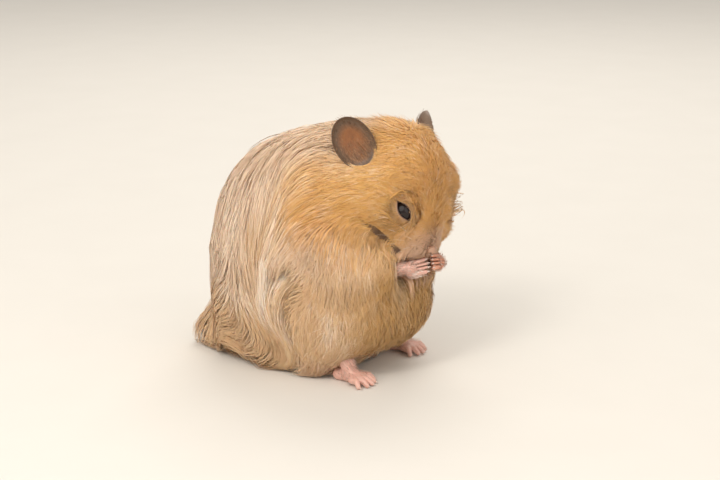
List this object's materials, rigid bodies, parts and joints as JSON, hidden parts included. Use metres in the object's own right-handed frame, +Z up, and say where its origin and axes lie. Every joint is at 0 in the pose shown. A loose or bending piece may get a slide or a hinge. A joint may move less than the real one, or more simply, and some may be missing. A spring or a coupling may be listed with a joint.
{
  "type": "long-haired syrian hamster",
  "caption": "Life-size long-haired golden and cream Syrian hamster sitting up on its haunches, head bowed, with both forepaws held to its mouth.",
  "frame": {"origin": "middle of the base of the bounding box, on the floor the animal sits on", "axes": "+X the way the trunk faces, +Y the animal's left, +Z up"},
  "size_m": [0.1024, 0.061, 0.0933],
  "materials": {
    "gold_coat": "long soft golden hair",
    "cream_coat": "long soft cream hair",
    "pink_skin": "soft pink skin under sparse short hair",
    "ear_skin": "thin grey-brown skin, pinker inside",
    "eye": "wet black",
    "claw": "pale horn"
  },
  "bodies": {
    "root": {"nose": "pink_skin", "head": "gold_coat", "neck": "gold_coat", "trunk": "gold_coat", "tail": "pink_skin", "eye_right": "eye", "ear_right": "ear_skin", "foreleg_right": "gold_coat", "forepaw_right": "pink_skin", "hind_leg_right": "cream_coat", "hind_foot_right": "pink_skin", "claw_forepaw_right_1": "claw", "claw_forepaw_right_2": "claw", "claw_forepaw_right_3": "claw", "claw_forepaw_right_4": "claw", "claw_hind_foot_right_1": "claw", "claw_hind_foot_right_2": "claw", "claw_hind_foot_right_3": "claw", "claw_hind_foot_right_4": "claw", "claw_hind_foot_right_5": "claw", "eye_left": "eye", "ear_left": "ear_skin", "foreleg_left": "gold_coat", "forepaw_left": "pink_skin", "hind_leg_left": "cream_coat", "hind_foot_left": "pink_skin", "claw_forepaw_left_1": "claw", "claw_forepaw_left_2": "claw", "claw_forepaw_left_3": "claw", "claw_forepaw_left_4": "claw", "claw_hind_foot_left_1": "claw", "claw_hind_foot_left_2": "claw", "claw_hind_foot_left_3": "claw", "claw_hind_foot_left_4": "claw", "claw_hind_foot_left_5": "claw", "coat_skirt_rear": "cream_coat", "coat_skirt_right": "cream_coat", "coat_skirt_left": "cream_coat"}
  },
  "joints": []
}
